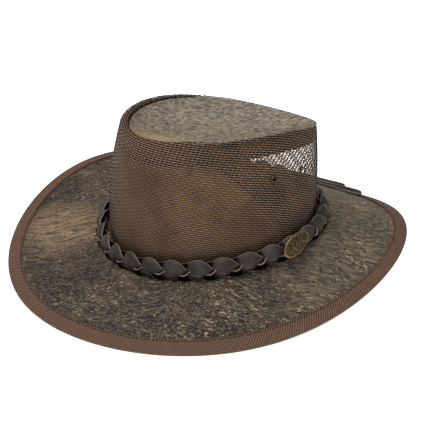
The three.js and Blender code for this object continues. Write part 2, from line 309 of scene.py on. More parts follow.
# A mask from noise whose lumps are about so many millimetres, cut between two levels. Its lines wander by as
# many millimetres as wander says.
def lumps(tree, size, low, high, stretch=(1, 1, 1), detail=3.0, wander=0.0):
    spot = stretched(tree, stretch)
    if wander:
        drift = addNode(tree, "TexNoise", {"Vector": stretched(tree), "Scale": 18.0, "Detail": 1.0}, 1)
        shift = addNode(tree, "VectorMath", {"operation": "SCALE", 0: drift, "Scale": wander * mm})
        spot = addNode(tree, "VectorMath", {"operation": "ADD", 0: spot, 1: shift})
    noise = {"Vector": spot, "Scale": 1000 / size, "Detail": detail, "Roughness": 0.55}
    return addNode(tree, "MapRange", fading(addNode(tree, "TexNoise", noise), low, high))


# A soft round mask about a place on the hat, in millimetres.
def around(tree, spot, reach, fade):
    values = {"operation": "DISTANCE", 0: stretched(tree), 1: [v * mm for v in spot]}
    gap = addNode(tree, "VectorMath", values, "Value")
    return addNode(tree, "MapRange", fading(gap, (reach + fade) * mm, reach * mm))


# Lays one colour over another, where all the masks let it through.
def blend(tree, masks, under, over, strength=1.0):
    share = strength
    for mask in masks if isinstance(masks, list) else [masks]:
        share = addNode(tree, "Math", {"operation": "MULTIPLY", 0: mask, 1: share})
    return addNode(tree, "Mix", {"data_type": "RGBA", 0: share, 6: under, 7: over}, 2)


# Brim: one sheet of leather.
brimLook = {"columns": 256, "rows": 24, "patch": {"at": (-148, 2, 30), "reach": 24, "fade": 34},
            "farShade": {"at": (22, 128, 18), "reach": 42, "fade": 28}}


# Waxed leather, rubbed and flecked: dark brown and barely shiny, greyer at the front, with a tan patch
# behind and streaks along the hide. Its flecks are about 1 mm. Its grain is drawn coarser than real, to show.
def brimLeather():
    material, tree, shader = newMaterial("distressed waxed leather", Specular_IOR_Level=0.15)
    short, streak, long, thin, hair = [(s, 1, s) for s in (0.6, 0.3, 0.1, 0.08, 0.06)]
    ahead = addNode(tree, "SeparateXYZ", {0: stretched(tree)})
    front = addNode(tree, "MapRange", fading(ahead, 0.02, 0.14))
    calm = addNode(tree, "Math", {"operation": "MULTIPLY_ADD", 0: front, 1: -0.4, 2: 0.6})
    patch, farShade = [around(tree, brimLook[name]["at"], brimLook[name]["reach"], brimLook[name]["fade"])
                   for name in ("patch", "farShade")]
    ink = lumps(tree, 1.6, 0.54, 0.62, streak, wander=14)
    layers = [
        (lumps(tree, 7, 0.48, 0.62, streak, wander=20), "#453e35", 0.7),
        (front, "#625a4d", 0.55),
        ([front, lumps(tree, 1.9, 0.46, 0.6, long, wander=20)], "#877a65", 0.65),
        ([patch, lumps(tree, 3, 0.3, 0.62, long, wander=24)], "#ab8f6c", 0.85),
        # Painted shade: the far side of the brim, beside the crown, is painted near black.
        (farShade, "#171512", 0.75),
        ([lumps(tree, 30, 0.45, 0.65), lumps(tree, 1.8, 0.5, 0.6, streak, wander=14)], "#7d5a44", 0.6),
        (lumps(tree, 1.5, 0.54, 0.62, streak, wander=14), "#716557", 0.75),
        (ink, "#191516", 0.75),
        ([lumps(tree, 0.9, 0.53, 0.6, short), calm], "#7d6d59", 1.0),
        ([lumps(tree, 0.8, 0.53, 0.6, short), calm], "#1b1718", 1.0),
        ([front, lumps(tree, 1.3, 0.5, 0.62, hair, wander=12)], "#39342c", 0.75),
        ([lumps(tree, 1.3, 0.6, 0.66, streak, wander=14), lumps(tree, 22, 0.45, 0.6)], "#c0ae8a", 0.65),
        ([lumps(tree, 1.1, 0.62, 0.67, thin, wander=30), lumps(tree, 40, 0.5, 0.6)], "#c6b48c", 0.7),
    ]
    colour = blend(tree, lumps(tree, 26, 0.4, 0.6), "#201b1e", "#302925")
    for masks, over, strength in layers:
        colour = blend(tree, masks, colour, over, strength)
    gloss = addNode(tree, "Math", {"operation": "MULTIPLY_ADD", 0: ink, 1: -0.12, 2: 0.66})
    bump = addNode(tree, "Bump", {"Height": lumps(tree, 1.1, 0.3, 0.7, detail=4), "Distance": 0.12 * mm})
    feed(tree, shader, Base_Color=colour, Roughness=gloss, Normal=bump)
    return material


def makeBrim():
    sheet = layGrid("brim_leather", brimLook["columns"], brimLook["rows"],
                    lambda u, v: place(brimPoint(u * turn, v, 0)))
    applyModifier(sheet, "SOLIDIFY", thickness=brimSize["thick"] * mm, offset=0, use_even_offset=True)
    return finishPiece(sheet, "brim_leather", [brimLeather()], "brim")


# A run of short stitches. pointAt gives each one's middle line, and the directions out and across. Each
# stitch takes four cells along the grid, and the fifth is deleted.
def layStitches(name, count, wide, share, pointAt):
    cells = 5
    deselectAll()
    bpy.ops.mesh.primitive_grid_add(x_subdivisions=count * cells, y_subdivisions=6, size=1)
    thread = bpy.context.object
    thread.name = thread.data.name = name
    bpy.ops.object.mode_set(mode="EDIT")
    mesh = bmesh.from_edit_mesh(thread.data)
    for face in mesh.faces:
        face.select_set(int((face.calc_center_median().x + 0.5) * count * cells) % cells == cells - 1)
    bmesh.update_edit_mesh(thread.data)
    bpy.ops.mesh.delete(type="FACE")
    bpy.ops.object.mode_set(mode="OBJECT")
    for vertex in thread.data.vertices:
        step = round((vertex.co.x + 0.5) * count * cells)
        part = step % cells / (cells - 1)
        middle, out, across = pointAt((step // cells + 0.5 + (part - 0.5) * share) / count)
        spin, fat = (vertex.co.y + 0.5) * turn, wide / 2 * math.sqrt(max(0.05, 1 - (2 * part - 1) ** 2))
        vertex.co = place(middle + (out * math.sin(spin) * 0.6 + across * math.cos(spin)) * fat)
    tidyMesh(thread)
    return thread


# Binding: tape folded over the brim's edge.
bindingLook = {"wide": 12.0, "gap": 0.4, "thick": 0.9, "nose": 1.3, "columns": 384, "fold": 5, "flat": 6,
               "long": 1085.0, "across": 27.0, "rib": 2.3, "yarn": 0.9, "cut": (0.029, 1.107),
               "stitches": 330, "seam": 1.5, "stitchWide": 0.9, "stitchShare": 0.85}


# Woven polyester tape: matt, with slanted ribs 2.3 mm apart crossed by finer yarns.
def wovenTape():
    look = bindingLook
    material, tree, shader = newMaterial("ribbed woven tape", Roughness=0.85, Specular_IOR_Level=0.25)
    flat = stretched(tree, (look["long"], look["across"], 1), "UV")
    along, across = [addNode(tree, "SeparateXYZ", {0: flat}, output) for output in (0, 1)]
    both = addNode(tree, "Math", {"operation": "ADD", 0: along, 1: across})
    waves = []
    for source, pitch in ((both, look["rib"]), (along, look["yarn"])):
        phase = addNode(tree, "Math", {"operation": "MULTIPLY", 0: source, 1: turn / pitch})
        waves.append(addNode(tree, "Math", {"operation": "SINE", 0: phase}))
    rib = addNode(tree, "MapRange", fading(waves[0], -0.9, 0.9))
    # Painted shade: each rib is painted paler on its crest and darker in its hollows.
    colour = blend(tree, rib, "#3c2c23", "#7c5f4d")
    colour = blend(tree, lumps(tree, 9, 0.35, 0.65), colour, "#4f3b2f", 0.3)
    height = addNode(tree, "Math", {"operation": "MULTIPLY_ADD", 0: waves[1], 1: 0.15, 2: rib})
    bump = addNode(tree, "Bump", {"Height": height, "Distance": 0.25 * mm})
    feed(tree, shader, Base_Color=colour, Normal=bump)
    return material


def makeBinding():
    look = bindingLook
    lift = brimSize["thick"] / 2 + look["gap"] + look["thick"] / 2
    path = [(-look["wide"] * (1 - k / look["flat"]), lift) for k in range(look["flat"])]
    reach = look["gap"] + look["nose"] - look["thick"] / 2
    for k in range(look["fold"] * 2 + 1):
        bend = math.pi * (0.5 - k / (look["fold"] * 2))
        path.append((reach * math.cos(bend), lift * math.sin(bend)))
    path += [(x, -z) for x, z in reversed(path[:look["flat"]])]

    def pointAt(u, v):
        past, high = path[round(v * (len(path) - 1))]
        return place(brimPoint(u * turn, 1 + past / brimSpan(u * turn), high))

    tape = layGrid("brim_binding_tape", look["columns"], len(path) - 1, pointAt)
    applyModifier(tape, "SOLIDIFY", thickness=look["thick"] * mm, offset=0, use_even_offset=True)
    finishPiece(tape, "binding_tape", [wovenTape()], "brim_binding")

    def seamAt(u):
        angle = u * turn
        share = 1 - (look["wide"] - look["seam"]) / brimSpan(angle)
        middle = brimPoint(angle, share, lift + look["thick"] / 2)
        out = (brimPoint(angle, 0.9, 1) - brimPoint(angle, 0.9, 0)).normalized()
        across = (brimMiddle(angle, 1) - brimMiddle(angle, 0.9)).normalized()
        return middle, out, across

    # Waxed sewing thread, near black and matt.
    thread = plainMaterial("dark sewing thread", "#140f0d", 0.8, shine=0.2)
    wide, share = look["stitchWide"], look["stitchShare"]
    stitches = layStitches("brim_binding_stitches", look["stitches"], wide, share, seamAt)
    finishPiece(stitches, "binding_tape", [thread])


# Crown mesh: coated yarns woven over and under. The cloth is flat cut, centred behind and joined in front,
# so its rows slope down to the front. It runs up the wall, and at the back it rolls in over the rim.
weave = {"rows": 92, "columns": 156, "rowPitch": 1.94, "columnPitch": 3.5, "rowWide": 0.7, "columnWide": 1.18,
         "thick": 0.22, "relief": 0.2, "tilt": 0.177}
meshSeam = {"wide": 9.0, "tall": 118.0, "top": 0.97, "lift": 0.75, "thick": 0.6, "steps": 60}


# Edge of the leather top: how far inside the rim's outline, and how far below its height. The mesh starts to
# roll in over it at the angle whose cosine is rollFrom, and is fully over once that has fallen by rollOver.
leatherEdge = {"rollFrom": 0.1, "rollOver": 0.5, "insetFront": -0.5, "insetSide": 2.4, "insetBack": 1.5,
               "drop": 0.6, "dropBack": 2.6, "dropFront": 1.0}


def backShare(angle):
    part = min(1, max(0, (leatherEdge["rollFrom"] - math.cos(angle)) / leatherEdge["rollOver"]))
    return part * part * (3 - 2 * part)


def leatherInset(angle):
    inset = mix(leatherEdge["insetFront"], leatherEdge["insetSide"], backShare(angle))
    return inset + leatherEdge["insetBack"] * max(0, -math.cos(angle)) ** 2


def leatherDrop(angle):
    c = math.cos(angle)
    back, front = leatherEdge["dropBack"] * max(0, -c) ** 2, leatherEdge["dropFront"] * max(0, c) ** 4
    return leatherEdge["drop"] + back + front


# Where the mesh tucks in under the rim: how far inside the rim's outline, and how far below its height.
def tuckSpot(angle):
    return leatherInset(angle) + rimSize["tuckIn"], leatherDrop(angle) + rimSize["tuckUnder"]


def meshProfile(angle):
    inset = wallSize["thick"] / 2
    points = [wallPoint(angle, k / 20, inset) for k in range(21)]
    start = inset - swell(angle)
    tuck, under = tuckSpot(angle)
    middle, crest = mix(start, tuck, 0.5), mix(under, 0.5, backShare(angle))
    for k in range(1, 7):
        bend = math.pi / 2 * k / 6
        inward = mix(start, middle, 1 - math.cos(bend))
        points.append(rimPoint(angle, inward, mix(rimSize["roll"], crest, math.sin(bend))))
    for k in range(1, 6):
        bend = math.pi / 2 * k / 5
        inward = mix(middle, tuck, math.sin(bend))
        points.append(rimPoint(angle, inward, mix(crest, under, 1 - math.cos(bend))))
    return points


# Angles that share the foot of the crown out into equal lengths.
def evenAngles(count):
    spots = [Vector(headOutline(turn * k / 1440)) for k in range(1441)]
    lengths = [0.0]
    for a, b in zip(spots, spots[1:]):
        lengths.append(lengths[-1] + (b - a).length)
    angles, k = [], 0
    for c in range(count):
        target = lengths[-1] * c / count
        while lengths[k + 1] < target:
            k += 1
        angles.append(turn * (k + (target - lengths[k]) / (lengths[k + 1] - lengths[k])) / 1440)
    return angles, lengths[-1]


class WallMap:
    # The wall's middle surface, by equal lengths round the foot and equal lengths up the cloth.
    def __init__(self, columns, rows):
        self.columns, self.rows = columns, rows
        angles, self.around = evenAngles(columns)
        self.heights, self.table = [], []
        for angle in angles:
            self.evenOut(meshProfile(angle))

    def evenOut(self, points):
        lengths = [0.0]
        for a, b in zip(points, points[1:]):
            lengths.append(lengths[-1] + (b - a).length)
        made, k = [], 0
        for r in range(self.rows + 1):
            target = lengths[-1] * r / self.rows
            while k < len(points) - 2 and lengths[k + 1] < target:
                k += 1
            part = (target - lengths[k]) / (lengths[k + 1] - lengths[k])
            made.append(points[k].lerp(points[k + 1], part))
        self.heights.append(lengths[-1])
        self.table.append(made)

    def height(self, u):
        x = (u % 1) * self.columns
        c = int(x) % self.columns
        return mix(self.heights[c], self.heights[(c + 1) % self.columns], x - int(x))

    def at(self, u, v):
        x, y = (u % 1) * self.columns, min(max(v, 0), 1) * self.rows
        c, r = int(x), min(int(y), self.rows - 1)
        left, right = self.table[c % self.columns], self.table[(c + 1) % self.columns]
        low, high = left[r].lerp(right[r], x - c), left[r + 1].lerp(right[r + 1], x - c)
        return low.lerp(high, y - r)

    def lifted(self, u, v, lift):
        small = 0.004
        along = self.at(u + small, v) - self.at(u - small, v)
        rise = self.at(u, v + small) - self.at(u, v - small)
        return self.at(u, v) + along.cross(rise).normalized() * lift


wallMap = WallMap(312, 120)
clothRadius = wallMap.around / (turn * weave["tilt"])


# From the flat cloth to the crown: share of the way round the foot, and length up the wall.
def clothSpot(x, y):
    share = 0.5 + math.atan2(x, clothRadius - y) * clothRadius / wallMap.around
    return share, clothRadius - math.hypot(x, clothRadius - y)


# The four vent holes: where they sit on the wall, and which way they face.
eyeletLook = {"rear": 54.0, "front": 31.0, "height": 0.66, "outer": 3.5, "bore": 2.1, "cut": 2.9,
              "deepen": 2.3}


def ventSpots():
    inset, height, small = wallSize["thick"] / 2, eyeletLook["height"], 0.01
    for side, sign in (("right", -1), ("left", 1)):
        for spot in ("rear", "front"):
            angle = math.radians(eyeletLook[spot]) * sign
            along = wallPoint(angle + small, height, inset) - wallPoint(angle - small, height, inset)
            rise = wallPoint(angle, height + small, inset) - wallPoint(angle, height - small, inset)
            yield f"eyelet_{side}_{spot}", wallPoint(angle, height, inset), along, along.cross(rise)


vents = list(ventSpots())


# One set of yarns, round the crown or up it, cut from a grid: the stripes between the yarns are deleted, and
# so is what lies past the cloth's edge or inside a vent hole.
def makeYarns(name, isRound, material, innerFace):
    rows, columns = weave["rows"], weave["columns"]
    lanes, steps = (rows, columns * 2) if isRound else (columns, rows * 2)
    wide = weave["rowWide"] if isRound else weave["columnWide"]
    deselectAll()
    bpy.ops.mesh.primitive_grid_add(x_subdivisions=steps, y_subdivisions=lanes * 2 - 1, size=1)
    cloth = bpy.context.object
    cloth.name = cloth.data.name = name
    spots = []
    for vertex in cloth.data.vertices:
        step = round((vertex.co.x + 0.5) * steps)
        lane, side = divmod(round((vertex.co.y + 0.5) * (lanes * 2 - 1)), 2)
        if isRound:
            x, y = step / 2 * weave["columnPitch"], lane * weave["rowPitch"] + (side - 0.5) * wide
        else:
            x, y = lane * weave["columnPitch"] + (side - 0.5) * wide, step / 2 * weave["rowPitch"]
        share, high = clothSpot(x - (columns - 1) / 2 * weave["columnPitch"], y)
        tall = wallMap.height(share)
        over = math.cos(math.pi * (step / 2 + lane + (0 if isRound else 1)))
        spot = wallMap.lifted(min(max(share, 0), 1), high / tall, over * weave["relief"])
        isKept = -0.002 <= share <= 1.002 and -2 <= high <= tall + 2
        isKept = isKept and all((spot - vent[1]).length > eyeletLook["cut"] for vent in vents)
        spots.append((isKept, spot))
    bpy.ops.object.mode_set(mode="EDIT")
    mesh = bmesh.from_edit_mesh(cloth.data)
    for face in mesh.faces:
        stripe = int((face.calc_center_median().y + 0.5) * (lanes * 2 - 1))
        face.select_set(stripe % 2 == 1 or not all(spots[corner.index][0] for corner in face.verts))
    mesh.verts.ensure_lookup_table()
    for vertex, (isKept, spot) in zip(mesh.verts, spots):
        vertex.co = place(spot)
    bmesh.update_edit_mesh(cloth.data)
    bpy.ops.mesh.delete(type="FACE")
    bpy.ops.object.mode_set(mode="OBJECT")
    pick(cloth)
    bpy.ops.object.shade_smooth()
    applyModifier(cloth, "SOLIDIFY", thickness=weave["thick"] * mm, offset=0, material_offset=1)
    return finishPiece(cloth, "crown_mesh", [material, innerFace], "crown_wall")


# Polyester yarn with a satin coat. Its colour is painted paler on top and darker along its sides, painted
# light and shade so that each yarn looks round.
def coatedYarn(name, light, dark, lanes):
    material, tree, shader = newMaterial(name, Roughness=0.6, Specular_IOR_Level=0.15)
    across = addNode(tree, "SeparateXYZ", {0: stretched(tree, (1, lanes * 2 - 1, 1), "UV")}, 1)
    lane = addNode(tree, "Math", {"operation": "MODULO", 0: across, 1: 2.0})
    offset = addNode(tree, "Math", {"operation": "SUBTRACT", 0: lane, 1: 0.5})
    side = addNode(tree, "Math", {"operation": "ABSOLUTE", 0: offset})
    # Painted light on top of each yarn and painted shade along its sides.
    colour = blend(tree, addNode(tree, "MapRange", fading(side, 0.15, 0.5)), light, dark)
    feed(tree, shader, Base_Color=blend(tree, lumps(tree, 30, 0.35, 0.65), colour, dark, 0.3))
    return material


# The joint's folded mesh: matt, with the same rows pressed close.
def joinedMesh():
    material, tree, shader = newMaterial("sewn mesh joint", Roughness=0.7)
    up = addNode(tree, "SeparateXYZ", {0: stretched(tree, (meshSeam["tall"], meshSeam["wide"], 1), "UV")})
    phase = addNode(tree, "Math", {"operation": "MULTIPLY", 0: up, 1: turn / weave["rowPitch"]})
    row = addNode(tree, "Math", {"operation": "SINE", 0: phase})
    # Painted shade: each pressed row is painted paler on its crest and darker between rows.
    colour = blend(tree, addNode(tree, "MapRange", fading(row, -0.6, 0.6)), "#3b2c23", "#7b614e")
    bump = addNode(tree, "Bump", {"Height": row, "Distance": 0.2 * mm})
    feed(tree, shader, Base_Color=colour, Normal=bump)
    return material


def makeCrownMesh():
    # The inner face is dark and matt: its near black colour is painted shade for the inside of the crown.
    innerFace = plainMaterial("yarn, inner face, painted shade", "#1d1713", 0.9, shine=0.1)
    # The same yarn in two tones: the rows are painted paler, as painted light where they lie on top, and the
    # upright yarns darker, as painted shade.
    rowYarn = coatedYarn("coated yarn, rows", "#9d826c", "#2b211b", weave["rows"])
    columnYarn = coatedYarn("coated yarn, columns", "#675343", "#1f1813", weave["columns"])
    makeYarns("crown_mesh_round", True, rowYarn, innerFace)
    makeYarns("crown_mesh_upright", False, columnYarn, innerFace)
    look = meshSeam

    def seamPoint(u, v):
        return place(wallMap.lifted((v - 0.5) * look["wide"] / wallMap.around, u * look["top"], look["lift"]))

    seam = layGrid("crown_mesh_seam", look["steps"], 4, seamPoint)
    applyModifier(seam, "SOLIDIFY", thickness=look["thick"] * mm, offset=0)
    finishPiece(seam, "crown_mesh", [joinedMesh()])


# Leather top: dished, its edge turned down inside the mesh.
panelLook = {"thick": 1.5, "collar": 17.0, "dish": 15.0, "middle": -22.0, "behind": 1.0, "collarThick": 0.8,
             "columns": 192, "rows": 26, "collarRows": 24, "stitches": 46, "stitched": (0.27, 0.73),
             "stitchWide": 1.0, "stitchShare": 0.7, "warm": {"at": (-46, -30, 132), "reach": 16, "fade": 22}}


# The same hide as the brim, rubbed pale and a little waxier, its streaks running front to back.
def topLeather():
    material, tree, shader = newMaterial("rubbed pale leather", Roughness=0.6, Specular_IOR_Level=0.4)
    streak, short = [(s, 1, s) for s in (0.22, 0.3)]
    warm = around(tree, panelLook["warm"]["at"], panelLook["warm"]["reach"], panelLook["warm"]["fade"])
    layers = [
        (lumps(tree, 2.4, 0.4, 0.6, streak, wander=8), "#807462", 0.7),
        (lumps(tree, 1.2, 0.46, 0.62, short, wander=8), "#998b76", 0.75),
        (lumps(tree, 1.1, 0.5, 0.62, streak, wander=8), "#382f28", 0.8),
        ([warm, lumps(tree, 5, 0.3, 0.6, short)], "#ad8c64", 0.6),
    ]
    colour = blend(tree, lumps(tree, 22, 0.38, 0.62), "#544b41", "#685e52")
    for masks, over, strength in layers:
        colour = blend(tree, masks, colour, over, strength)
    bump = addNode(tree, "Bump", {"Height": lumps(tree, 1.1, 0.3, 0.7, detail=4), "Distance": 0.1 * mm})
    feed(tree, shader, Base_Color=colour, Normal=bump)
    return material


def makeTop():
    look = panelLook
    half = look["thick"] / 2
    centre = Vector((look["middle"], 0, crownTop["high"] - look["dish"] - half))

    def pointAt(u, v):
        angle = u * turn
        edge = rimPoint(angle, leatherInset(angle), leatherDrop(angle) + half)
        spot = centre.lerp(edge, v)
        spot.z = mix(centre.z, edge.z, v**3)
        return place(spot)

    # The collar follows the mesh from behind: in under the rim, over the roll, then down the wall.
    def collarAt(u, v):
        angle, gap, roll = u * turn, look["behind"], rimSize["roll"]
        inset = wallSize["thick"] / 2 + gap
        start = inset - swell(angle)
        tuck, drop = tuckSpot(angle)
        middle, crest = mix(start, tuck, 0.5), mix(drop, 0.5, backShare(angle)) + gap
        bend = math.pi / 2 * (v / 0.25)
        if v < 0.25:
            under = max(drop, crest) + 0.4
            inward = mix(middle, tuck, math.cos(bend))
            return place(rimPoint(angle, inward, mix(crest, under, 1 - math.sin(bend))))
        if v < 0.5:
            inward = mix(start, middle, 1 + math.cos(bend))
            return place(rimPoint(angle, inward, mix(roll, crest, math.sin(bend))))
        down = (look["collar"] - roll + 2) * (v - 0.5) * 2
        return place(wallPoint(angle, 1 - down / (rimHeight(angle) - roll), inset))

    sheet = layGrid("crown_top_leather", look["columns"], look["rows"], pointAt)
    applyModifier(sheet, "SOLIDIFY", thickness=look["thick"] * mm, offset=0, use_even_offset=True)
    finishPiece(sheet, "top_leather", [topLeather()], "crown_top")
    collar = layGrid("crown_top_collar", look["columns"], look["collarRows"], collarAt)
    applyModifier(collar, "SOLIDIFY", thickness=look["collarThick"] * mm, offset=0)
    # The hide's flesh side, near black and matt: its colour is painted shade for the dark band under the rim.
    edge = plainMaterial("dark leather edge", "#0f0b0a", 0.9, shine=0.1)
    finishPiece(collar, "top_leather", [edge], "crown_top")

    def seamAt(u):
        angle = turn * mix(look["stitched"][0], look["stitched"][1], u)
        inset, drop = leatherInset(angle) + 0.3, leatherDrop(angle) - 0.1
        spot, inner = rimPoint(angle, inset, drop), rimPoint(angle, inset + 1, drop)
        return spot, Vector((0, 0, 1)), (spot - inner).normalized()

    # Waxed thread, with a soft shine.
    thread = plainMaterial("black sewing thread", "#171210", 0.7)
    wide, share = look["stitchWide"], look["stitchShare"]
    stitches = layStitches("crown_top_stitches", look["stitches"], wide, share, seamAt)
    finishPiece(stitches, "top_leather", [thread])


# Lining: cloth behind the mesh, its front edge sloping down to the band, further back on the left side.
# right and left hold the cosines of the angles where that edge starts down and where it ends.
liningLook = {"inset": 3.0, "thick": 0.6, "right": (-0.77, 0.7), "left": (-0.95, 0.1), "curve": 1.9,
              "round": 0.6, "reach": 1.04, "columns": 160, "rows": 24, "cut": (0.37, 0.125), "area": 0.0317,
              "olive": {"angle": -92.0, "height": 0.7, "reach": 24, "fade": 30}}


def liningHeight(angle):
    look = liningLook
    start, end = look["right"] if math.sin(angle) < 0 else look["left"]
    past = max(0, math.cos(angle) - start) / (end - start)
    slope = look["reach"] * (1 - min(1, past) ** look["curve"]) ** look["round"]
    underLip = 1 - (rimStep(angle) + 2 - rimSize["roll"]) / (rimHeight(angle) - rimSize["roll"])
    return max(0.03, min(slope, underLip, 1))


# Plain-woven cotton: matt, its dye faded in soft patches, with a patch of olive on the right side.
def liningCloth():
    olive = liningLook["olive"]
    spot = place(wallPoint(math.radians(olive["angle"]), olive["height"], liningLook["inset"])) / mm
    material, tree, shader = newMaterial("mottled lining cloth", Roughness=0.9, Specular_IOR_Level=0.2)
    colour = blend(tree, lumps(tree, 45, 0.4, 0.6), "#4f2d1b", "#4d361b")
    colour = blend(tree, around(tree, spot, olive["reach"], olive["fade"]), colour, "#745b22", 0.7)
    feed(tree, shader, Base_Color=blend(tree, lumps(tree, 14, 0.52, 0.66), colour, "#2a1c13", 0.6))
    return material


def makeLining():
    look = liningLook
    ends = [math.acos(look[side][1]) for side in ("left", "right")]

    def pointAt(u, v):
        angle = mix(ends[0], turn - ends[1], u)
        return place(wallPoint(angle, v * liningHeight(angle), look["inset"]))

    cloth = layGrid("crown_lining_cloth", look["columns"], look["rows"], pointAt)
    applyModifier(cloth, "SOLIDIFY", thickness=look["thick"] * mm, offset=0, material_offset=1)
    # The cloth's back, turned to the head: quite matt, and coloured near black as painted shade inside the
    # crown.
    backing = plainMaterial("dark backing of the lining", "#17130f", 0.95, shine=0.1)
    finishPiece(cloth, "lining_cloth", [liningCloth(), backing], "crown_lining")


# Band: three flat strands plaited round the foot of the crown.
plaitLook = {"turns": 10, "out": 10.2, "up": 5.2, "tilt": 86.0, "sway": 6.2, "third": 0.14, "weave": -2.8,
             "round": 9.0, "wide": 11.0, "thick": 1.3, "bulge": 0.5, "perTurn": 40, "across": 8}


def plaitFrame(angle):
    def at(a):
        x, y = headOutline(a, -plaitLook["out"])
        under = brimMiddle(a, plaitLook["out"] / brimSpan(a)).z
        return Vector((x, y, under + brimSize["thick"] / 2 + plaitLook["up"]))

    along = (at(angle + 0.001) - at(angle - 0.001)).normalized()
    out = Vector((along.y, -along.x, 0)).normalized()
    tilt = math.radians(plaitLook["tilt"])
    across = out * -math.cos(tilt) + Vector((0, 0, math.sin(tilt)))
    face = out * math.sin(tilt) + Vector((0, 0, math.cos(tilt)))
    return at(angle), along, across, face


# The plait lies on a rounded core: side is the way round it, lift the way out from it.
def plaitPoint(angle, side, lift):
    middle, along, across, face = plaitFrame(angle)
    core, bend = plaitLook["round"], side / plaitLook["round"]
    return middle - face * core + (face * math.cos(bend) + across * math.sin(bend)) * (core + lift)


def makeStrand(k, materials):
    look, start = plaitLook, k * turn / 3

    def swing(angle):
        phase = look["turns"] * angle + start
        return look["sway"] * (math.sin(phase) + look["third"] * math.sin(3 * phase))

    def pointAt(u, v):
        angle, half = u * turn - start / look["turns"], 0.002
        pace = (plaitFrame(angle + half)[0] - plaitFrame(angle - half)[0]).length
        climb = swing(angle + half) - swing(angle - half)
        reach = (v - 0.5) * look["wide"] / math.hypot(pace, climb)
        lift = look["weave"] * math.sin(2 * (look["turns"] * angle + start))
        lift += look["bulge"] * (1 - (2 * v - 1) ** 2)
        return place(plaitPoint(angle - climb * reach * half * 2 / pace, swing(angle) + pace * reach, lift))

    strip = layGrid(f"band_strand_{k + 1}_leather", look["turns"] * look["perTurn"], look["across"], pointAt)
    applyModifier(strip, "SOLIDIFY", thickness=look["thick"] * mm, offset=0, material_offset_rim=1)
    return finishPiece(strip, "plait_leather", materials, f"band_strand_{k + 1}")


# Loose ends of the band, lying out over the left side of the brim. A route is given as degrees from the front
# and shares of the way out over the brim.
tailRoutes = [
    {"wide": 6.0, "pad": 0.6, "lift": 3.4,
     "route": [(60, 0.22), (55, 0.4), (45, 0.62), (36, 0.8), (29, 0.86)]},
    {"wide": 5.0, "pad": 0.0, "lift": 6.2,
     "route": [(66, 0.22), (58, 0.44), (50, 0.62), (43, 0.76), (38, 0.86)]},
]
tailLook = {"thick": 2.0, "steps": 60}


# A smooth curve through all the route's points.
def smoothRoute(route, part):
    spans = len(route) - 1
    k = min(int(part * spans), spans - 1)
    t = part * spans - k
    a, b = route[k], route[k + 1]
    before = route[k - 1] if k else tuple(2 * p - q for p, q in zip(a, b))
    after = route[k + 2] if k + 2 <= spans else tuple(2 * p - q for p, q in zip(b, a))
    return [0.5 * (2 * q + (r - p) * t + (2 * p - 5 * q + 4 * r - s) * t**2 + (3 * q - p - 3 * r + s) * t**3)
            for p, q, r, s in zip(before, a, b, after)]


def makeTail(k, materials):
    look = tailRoutes[k]

    def middleAt(part):
        degrees, across = smoothRoute(look["route"], part)
        return brimPoint(math.radians(degrees), across, brimSize["thick"] / 2 + look["lift"])

    def pointAt(u, v):
        run = (middleAt(min(1, u + 0.01)) - middleAt(max(0, u - 0.01))).normalized()
        side = Vector((run.y, -run.x, 0)).normalized()
        rounded = math.sqrt(max(0.02, 1 - max(0, (u - 0.92) / 0.08) ** 2))
        swollen = 1 + look["pad"] * (min(1, max(0, (u - 0.6) / 0.12)) - 0.6)
        return place(middleAt(u) + side * (v - 0.5) * look["wide"] * swollen * rounded)

    strip = layGrid(f"band_tail_{k + 1}_leather", tailLook["steps"], 4, pointAt)
    applyModifier(strip, "SOLIDIFY", thickness=tailLook["thick"] * mm, offset=0, material_offset_rim=1)
    return finishPiece(strip, "plait_leather", materials, f"band_tail_{k + 1}")


# Smooth strap leather: dark, with a soft shine, worn pale along its edges. In the plait, painted shade makes
# it near black where a strand dives under the next or runs in the lower row, and it shines less there.
def stripLeather(isPlaited):
    material, tree, shader = newMaterial("smooth strap leather", Roughness=0.55, Specular_IOR_Level=0.3)
    flat = stretched(tree, source="UV")
    along, across = [addNode(tree, "SeparateXYZ", {0: flat}, output) for output in (0, 1)]
    colour = blend(tree, lumps(tree, 12, 0.4, 0.6), "#271f1b", "#362c26")
    if isPlaited:
        hidden = []
        for beats, low, high in ((2, -0.2, 0.6), (1, -0.05, -0.55)):
            pace = turn * plaitLook["turns"] * beats
            phase = addNode(tree, "Math", {"operation": "MULTIPLY", 0: along, 1: pace})
            swing = addNode(tree, "Math", {"operation": "SINE", 0: phase})
            hidden.append(addNode(tree, "MapRange", fading(swing, low, high)))
        dark = addNode(tree, "Math", {"operation": "MAXIMUM", 0: hidden[0], 1: hidden[1]})
        # Painted shade on the parts that run under the next strand or in the lower row.
        colour = blend(tree, dark, colour, "#080605")
        shine = addNode(tree, "Math", {"operation": "MULTIPLY_ADD", 0: dark, 1: -0.3, 2: 0.3})
        feed(tree, shader, Specular_IOR_Level=shine)
    offset = addNode(tree, "Math", {"operation": "SUBTRACT", 0: across, 1: 0.5})
    side = addNode(tree, "Math", {"operation": "ABSOLUTE", 0: offset})
    colour = blend(tree, addNode(tree, "MapRange", fading(side, 0.43, 0.47)), colour, "#85756a", 0.75)
    bump = addNode(tree, "Bump", {"Height": lumps(tree, 0.9, 0.3, 0.7), "Distance": 0.05 * mm})
    feed(tree, shader, Base_Color=colour, Normal=bump)
    return material


def makeBand():
    # Raw leather fibre at the cut: pale and matt.
    edge = plainMaterial("cut edge", "#857368", 0.7)
    for k in range(3):
        makeStrand(k, [stripLeather(True), edge])
    for k in range(2):
        makeTail(k, [stripLeather(False), edge])


